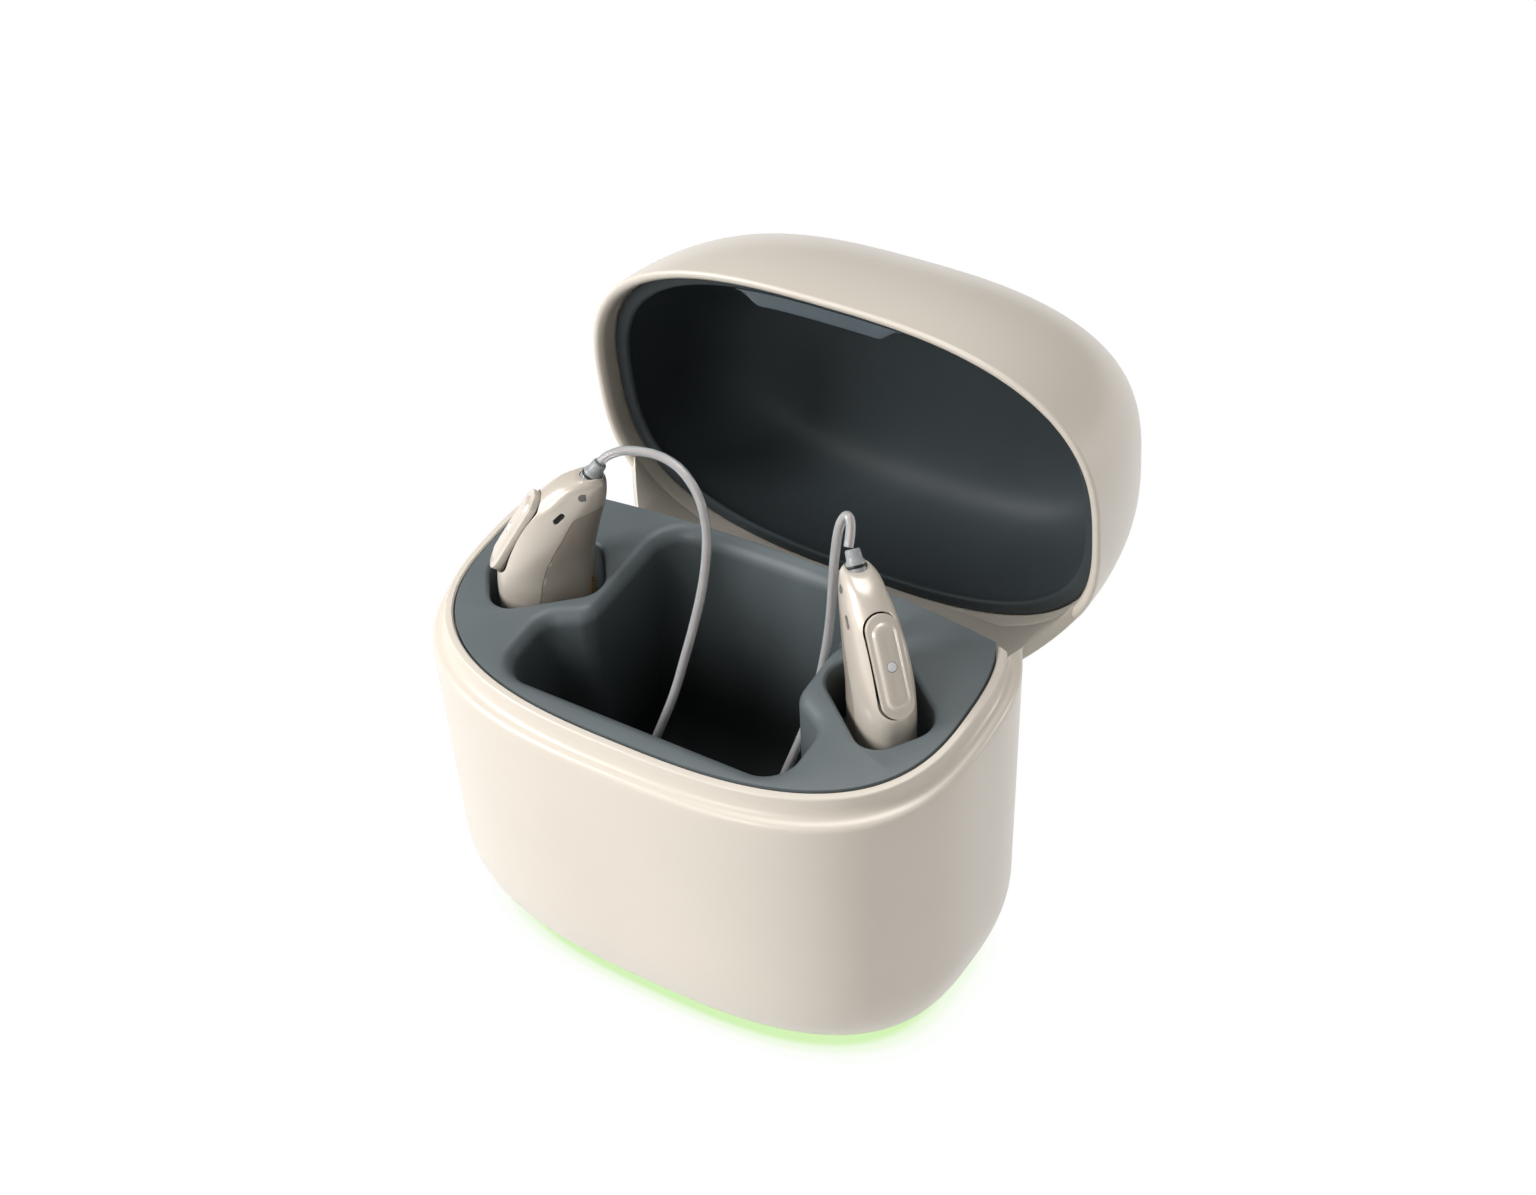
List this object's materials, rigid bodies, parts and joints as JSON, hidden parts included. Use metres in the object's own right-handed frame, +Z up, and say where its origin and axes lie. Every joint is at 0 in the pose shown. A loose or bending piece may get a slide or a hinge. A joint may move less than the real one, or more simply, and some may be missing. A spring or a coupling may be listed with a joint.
{
  "type": "hearing aid charger",
  "caption": "Rounded ivory charging case with a domed hinged lid, a dark deck with wells for two behind-ear hearing aids and a hollow for their tubes.",
  "frame": {"origin": "middle of the rubber foot's underside", "axes": "+Z up, -Y the front where the lid opens, X along the case's length"},
  "size_m": [0.083, 0.0926, 0.0894],
  "materials": {
    "ivory_shell": "satin moulded ivory plastic",
    "slate_plastic": "fine matt blue-grey plastic",
    "dark_rubber": "matt rubber",
    "steel": "bare steel",
    "circuit_board": "green circuit board",
    "battery_foil": "grey battery foil",
    "light_guide": "lit green light guide",
    "black_plastic": "black plastic",
    "gold_contacts": "gold plate",
    "aid_champagne": "pearly champagne lacquer",
    "aid_taupe": "pearly taupe lacquer",
    "lamp_lens": "white diffusing lens",
    "clear_plastic": "clear flexible plastic",
    "soft_dome": "soft smoky silicone"
  },
  "bodies": {
    "case": {"base_shell": "ivory_shell", "deck": "slate_plastic", "base_plate": "slate_plastic", "light_ring": "light_guide", "rubber_foot": "dark_rubber", "plate_screws": "steel", "main_board": "circuit_board", "battery_pack": "battery_foil", "usb_socket": "steel", "hinge_frame": "steel", "frame_screws": "steel", "hinge_pin": "steel", "hinge_springs": "steel", "catch_plate": "steel", "left_contact_block": "black_plastic", "right_contact_block": "black_plastic"},
    "lid": {"lid_shell": "ivory_shell", "lid_liner": "slate_plastic", "magnet_cover": "slate_plastic", "lid_magnet": "steel", "lid_hinge_arm": "steel", "arm_screws": "steel"},
    "left_aid": {"left_aid_spine": "aid_champagne", "left_aid_side": "aid_taupe", "left_mic_grilles": "black_plastic", "left_plug": "clear_plastic", "left_tube": "clear_plastic", "left_receiver": "clear_plastic", "left_dome": "soft_dome", "left_contacts": "gold_contacts", "left_cell": "battery_foil", "left_circuit": "circuit_board"},
    "left_button": {"left_rocker": "aid_champagne", "left_lamp": "lamp_lens"},
    "left_pins": {"left_charge_pins": "gold_contacts"},
    "right_aid": {"right_aid_spine": "aid_champagne", "right_aid_side": "aid_taupe", "right_mic_grilles": "black_plastic", "right_plug": "clear_plastic", "right_tube": "clear_plastic", "right_receiver": "clear_plastic", "right_dome": "soft_dome", "right_contacts": "gold_contacts", "right_cell": "battery_foil", "right_circuit": "circuit_board"},
    "right_button": {"right_rocker": "aid_champagne", "right_lamp": "lamp_lens"},
    "right_pins": {"right_charge_pins": "gold_contacts"}
  },
  "joints": [
    {"name": "lid_hinge", "type": "hinge", "parent": "case", "child": "lid", "pos_m": [0, 0.0205, 0.0418], "axis": [-1, 0, 0], "range_deg": [-92, 0], "stiffness_Nm_per_rad": 0.0006},
    {"name": "left_aid_lift", "type": "slide", "parent": "case", "child": "left_aid", "axis": [0, 0, 1], "range_m": [0, 0.03]},
    {"name": "left_rocker_press", "type": "hinge", "parent": "left_aid", "child": "left_button", "pos_m": [-0.02907, -0.00456, 0.06117], "axis": [0.6157, -0.788, 0], "range_deg": [-2.5, 2.5], "stiffness_Nm_per_rad": 0.05},
    {"name": "left_pins_press", "type": "slide", "parent": "case", "child": "left_pins", "axis": [0, 0, 1], "range_m": [-0.0005, 0], "stiffness_N_per_m": 100},
    {"name": "right_aid_lift", "type": "slide", "parent": "case", "child": "right_aid", "axis": [0, 0, 1], "range_m": [0, 0.03]},
    {"name": "right_rocker_press", "type": "hinge", "parent": "right_aid", "child": "right_button", "pos_m": [0.02907, -0.00456, 0.06117], "axis": [-0.6157, -0.788, 0], "range_deg": [-2.5, 2.5], "stiffness_Nm_per_rad": 0.05},
    {"name": "right_pins_press", "type": "slide", "parent": "case", "child": "right_pins", "axis": [0, 0, 1], "range_m": [-0.0005, 0], "stiffness_N_per_m": 100}
  ]
}
